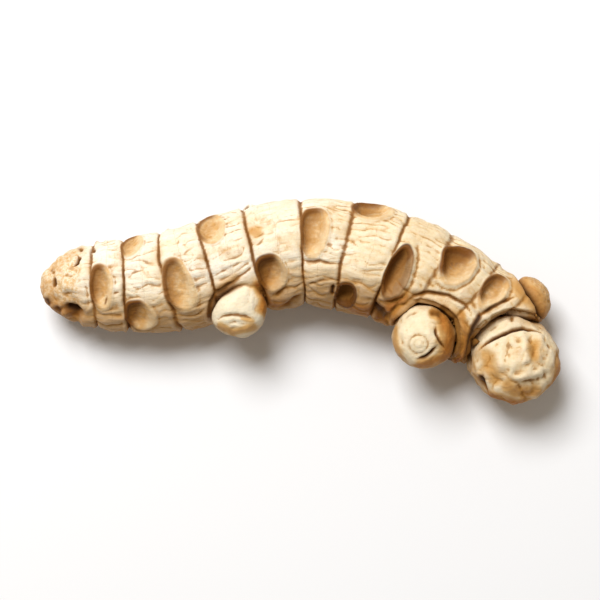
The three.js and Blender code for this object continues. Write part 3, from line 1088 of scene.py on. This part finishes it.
IVORY = linear(240, 232, 215)
CREAM = linear(230, 210, 172)
TAN = linear(209, 174, 123)
OCHRE = linear(191, 136, 62)
SCAR_TAN = linear(216, 176, 118)
BROWN = linear(120, 72, 20)
DARK = linear(46, 21, 5)
PALE = linear(239, 227, 196)
STAIN_AND_SHADE_TINT = linear(230, 199, 152)  # what light stains and light painted shade multiply the skin's colour by
DEEP_STAIN_AND_SHADE_TINT = linear(222, 180, 122)  # and what strong ones multiply it by again


def body_colour(g, place, ring, hollow):
    """Cream at the tail end, tan towards the head, with blotches and streaks along the body, a
    painted highlight on crests and painted shade on the underside and the -Y flank.
    """
    lower = g.attribute("lower")
    blotch = g.noise(place, 0.13, 3.0)
    along = g.stretched(g.attribute("grain", "Vector"), (9.0, 1.2, 1.2))
    streak = g.noise(along, 1.0, 5.0, 0.6)
    tone_and_shade = g.plus(g.between(g.attribute("growth"), 0.35, 0.85, 0.0, 0.32), g.times(blotch, 0.6))
    tone_and_shade = g.plus(tone_and_shade, g.times(streak, 0.5))
    # Painted shade: skin turned from the lamp leans further to tan.
    tone_and_shade = g.plus(tone_and_shade, g.times(lower, 0.5))
    skin = g.mix(g.between(tone_and_shade, 0.4, 0.85), IVORY, CREAM)
    skin = g.mix(g.between(tone_and_shade, 0.75, 1.35), skin, TAN)
    stain = g.between(g.noise(place, 0.26, 4.0, 0.65, 0.6), 0.54, 0.72)
    skin = g.mix(g.times(stain, 0.6), skin, OCHRE)
    mottle = g.noise(place, 1.4, 5.0, 0.7)
    skin = g.mix(g.between(mottle, 0.45, 0.8, 0.0, 0.55), skin, TAN)
    freckle = g.noise(place, 3.2, 3.0, 0.6)
    skin = g.mix(g.between(freckle, 0.56, 0.74, 0.0, 0.3), skin, OCHRE)
    near_ring = g.between(ring, 2.2, 0.3, 0.0, 0.45)
    skin = g.mix(g.times(near_ring, g.between(blotch, 0.35, 0.65)), skin, TAN)

    # Crests are made paler, a painted highlight. Most knobs are paler, and the tail is browner. The
    # underside and the -Y flank, turned from the lamp, are browner: painted shade.
    # Painted highlight: crests, where the skin bends outwards, are made paler.
    skin = g.mix(g.between(hollow, -0.1, -0.8, 0.0, 0.25), skin, IVORY)
    skin = g.mix(g.attribute("pale"), skin, PALE)
    patchy = g.between(mottle, 0.4, 0.6, 0.25, 0.9)
    skin = g.mix(g.times(g.attribute("broken"), patchy), skin, STAIN_AND_SHADE_TINT, "MULTIPLY")
    # Painted shade: the underside and the -Y flank, turned from the lamp, go tan, ochre and brown.
    skin = g.mix(g.times(lower, 0.3), skin, TAN)
    skin = g.mix(g.times(lower, 0.3), skin, OCHRE)
    skin = g.mix(g.times(lower, 0.36), skin, BROWN)

    # Stains, and painted shade on knob sides turned from the lamp and in the cleft between the
    # knobs, multiply the skin browner.
    stain_and_shade = g.attribute("stain_and_shade")
    skin = g.mix(g.between(stain_and_shade, 0.0, 0.5), skin, STAIN_AND_SHADE_TINT, "MULTIPLY")
    return g.mix(g.between(stain_and_shade, 0.3, 1.0), skin, DEEP_STAIN_AND_SHADE_TINT, "MULTIPLY")


def with_scars(g, skin, place, seal, inside):
    """Stem scars: tan inside, with painted shade on the tail-side wall turned from the lamp and a
    painted highlight on the head side that faces it.
    """
    scar = g.mix(g.between(g.noise(place, 0.9, 5.0, 0.65), 0.35, 0.75), SCAR_TAN, CREAM)
    scar = g.mix(g.between(g.noise(place, 0.35, 2.0), 0.4, 0.65, 0.15, 0.6), scar, OCHRE)
    lit = g.attribute("scar_lit")
    brown_and_shade = g.attribute("scar_brown_and_shade")
    # Painted highlight: the scar's side that faces the lamp is made paler.
    scar = g.mix(g.between(lit, 0.2, 1.0, 0.0, 0.4), scar, CREAM)
    # Painted shade: the wall turned from the lamp goes brown as far as the scar is brown; the
    # brownest scars are brown all over, their own colour.
    browned = g.times(g.between(lit, 0.4, -0.7), brown_and_shade)
    browned = g.plus(browned, g.between(brown_and_shade, 0.9, 1.5), clamp=True)
    scar = g.mix(browned, scar, BROWN)
    # Painted shade: that wall goes dark in brown scars; the very brownest are darker all over.
    darkened = g.times(g.between(lit, 0.0, -0.9), g.between(brown_and_shade, 0.7, 1.4))
    darkened = g.plus(darkened, g.between(brown_and_shade, 1.3, 1.7, 0.0, 0.5), clamp=True)
    scar = g.mix(g.times(darkened, 0.85), scar, DARK)
    skin = g.mix(g.times(inside, 0.95), skin, scar)
    # Painted shade: the top of the wall turned from the lamp is made brown.
    shaded_wall_top = g.times(g.between(seal, 0.45, 0.15), g.between(seal, -0.6, -0.1))
    shaded_wall_top = g.times(shaded_wall_top, g.between(lit, 0.3, -0.7, 0.0, 0.85))
    skin = g.mix(shaded_wall_top, skin, BROWN)
    return g.mix(g.times(g.attribute("scar_line"), 0.45), skin, BROWN)


def with_dark_lines(g, skin, ring, seal):
    """Rings, cracks and the seams at the knobs' feet are dark lines; the crevices beside the knobs
    are painted dark as painted shade.
    """
    firm = g.attribute("ring_firm")
    clear_of_scar = g.between(seal, 0.0, 0.4)
    line = g.times(g.between(ring, 0.6, 0.12), g.between(firm, 0.0, 1.0, 0.5, 0.9))
    skin = g.mix(g.times(line, clear_of_scar), skin, BROWN)
    core = g.times(g.between(ring, 0.3, 0.0), g.between(firm, 0.2, 1.0, 0.1, 0.75))
    skin = g.mix(g.times(core, clear_of_scar), skin, DARK)
    # Cracks and rootlet pits are dark lines; the crevices carried with them are painted shade.
    cracks_and_crevice_shade = g.attribute("cracks_and_crevice_shade")
    skin = g.mix(g.between(cracks_and_crevice_shade, 0.1, 0.6, 0.0, 0.8), skin, BROWN)
    skin = g.mix(g.between(cracks_and_crevice_shade, 0.5, 0.95, 0.0, 0.9), skin, DARK)
    skin = g.mix(g.times(g.attribute("foot"), 0.5), skin, OCHRE)
    seam = g.attribute("seam")
    skin = g.mix(g.between(seam, 0.25, 0.9, 0.0, 0.6), skin, BROWN)
    return g.mix(g.between(seam, 0.7, 1.0, 0.0, 0.85), skin, DARK)


def fine_relief(g, place):
    """Fibres along the body and a crinkled skin over everything, as the shader's normal."""
    along = g.stretched(g.attribute("grain", "Vector"), (3.2, 0.42, 0.42))
    fibre = g.noise(along, 1.0, 4.0, 0.65, 0.4)
    crinkle = g.noise(place, 1.7, 6.0, 0.62, 0.3)
    relief = g.plus(g.times(fibre, 0.6), g.times(crinkle, 0.5))
    values = {"Strength": 0.6, "Distance": 0.0005, "Height": relief}
    return g.add("ShaderNodeBump", values).outputs[0]


def skin_material():
    material = bpy.data.materials.new("dried_skin")
    g = Graph(material)
    metres = g.add("ShaderNodeTexCoord").outputs["Object"]
    values = {0: metres, "Scale": MILLIMETRES}
    place = g.add("ShaderNodeVectorMath", values, operation="SCALE").outputs[0]
    hollow = g.attribute("hollow")
    ring = g.math("ABSOLUTE", g.attribute("ring"))
    seal = g.attribute("seal")
    inside = g.between(seal, 0.72, 0.3)
    skin = body_colour(g, place, ring, hollow)
    skin = with_scars(g, skin, place, seal, inside)

    # Hollows are painted darker, ochre to brown, as painted shade, and less so inside the scars.
    hollow_shade_share = g.between(inside, 0.0, 1.0, 1.0, 0.45)
    skin = g.mix(g.times(g.between(hollow, 0.0, 0.6, 0.0, 0.55), hollow_shade_share), skin, OCHRE)
    skin = g.mix(g.times(g.between(hollow, 0.35, 1.0, 0.0, 0.6), hollow_shade_share), skin, BROWN)
    skin = with_dark_lines(g, skin, ring, seal)
    rough = g.between(hollow, -0.6, 0.6, 0.5, 0.85)
    values = {"Base Color": skin, "Roughness": rough, "Normal": fine_relief(g, place)}
    shader = g.add("ShaderNodeBsdfPrincipled", values)
    shader.inputs["Specular IOR Level"].default_value = 0.14
    shader.inputs["Subsurface Weight"].default_value = 0.05
    shader.inputs["Subsurface Radius"].default_value = (1.0, 0.6, 0.3)
    shader.inputs["Subsurface Scale"].default_value = 0.0006
    out = g.add("ShaderNodeOutputMaterial")
    g.links.new(shader.outputs[0], out.inputs["Surface"])
    return material


def floor_material():
    material = bpy.data.materials.new("pale_floor")
    g = Graph(material)
    shader = g.add("ShaderNodeBsdfPrincipled")
    shader.inputs["Base Color"].default_value = (0.82, 0.83, 0.85, 1)
    shader.inputs["Roughness"].default_value = 0.9
    shader.inputs["Specular IOR Level"].default_value = 0.1
    out = g.add("ShaderNodeOutputMaterial")
    g.links.new(shader.outputs[0], out.inputs["Surface"])
    return material


# ---- Stage: floor, lights and camera ----

KEY_FROM = (-0.3, 0.55, 1.0)
KEY_DISTANCE = 0.9
KEY_SIZE = 0.42
KEY_POWER = 9.9
WORLD_COLOUR = (1.0, 0.89, 0.75, 1)
WORLD_STRENGTH = 0.3
VIEW_LEAN = 3  # degrees that the camera looks from, in front of straight overhead
VIEW_SHARE = 0.86  # of the picture's width that the root fills
LENS = 120.0
FLOOR_REACH = 40  # root lengths from the middle of the floor to its edges


def make_camera():
    data = bpy.data.cameras.new("camera")
    data.lens = LENS
    camera = bpy.data.objects.new("camera", data)
    bpy.context.scene.collection.objects.link(camera)
    centre = (CAD_LOW + CAD_HIGH) / 2
    length = CAD_HIGH.x - CAD_LOW.x
    distance = length / VIEW_SHARE * LENS / data.sensor_width
    turn = np.radians(VIEW_LEAN)
    back = Vector((0, -np.sin(turn), np.cos(turn)))
    camera.location = centre + back * distance
    camera.rotation_mode = "QUATERNION"
    camera.rotation_quaternion = (-back).to_track_quat("-Z", "Y")
    data.clip_start = distance * 0.05
    data.clip_end = distance * 20
    bpy.context.scene.camera = camera


def make_floor():
    size = FLOOR_REACH * (CAD_HIGH.x - CAD_LOW.x)
    corners = [(-size, -size, 0), (size, -size, 0), (size, size, 0), (-size, size, 0)]
    mesh = bpy.data.meshes.new("floor")
    mesh.from_pydata(corners, [], [(0, 1, 2, 3)])
    floor = bpy.data.objects.new("floor", mesh)
    floor.data.materials.append(floor_material())
    bpy.context.scene.collection.objects.link(floor)


def make_lights():
    """A soft square lamp above, behind and to the left of the root, and a dim warm world."""
    data = bpy.data.lights.new("key", "AREA")
    data.size = KEY_SIZE
    data.energy = KEY_POWER
    lamp = bpy.data.objects.new("key", data)
    direction = Vector(KEY_FROM).normalized()
    lamp.location = direction * KEY_DISTANCE
    lamp.rotation_mode = "QUATERNION"
    lamp.rotation_quaternion = (-direction).to_track_quat("-Z", "Y")
    scene = bpy.context.scene
    scene.collection.objects.link(lamp)
    scene.world = bpy.data.worlds.new("studio")
    scene.world.use_nodes = True
    background = scene.world.node_tree.nodes["Background"]
    background.inputs["Color"].default_value = WORLD_COLOUR
    background.inputs["Strength"].default_value = WORLD_STRENGTH
    scene.view_settings.view_transform = "Standard"


root = make_root()
root.data.materials.append(skin_material())
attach(root, "root")
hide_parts("rhizome")
make_camera()
make_floor()
make_lights()
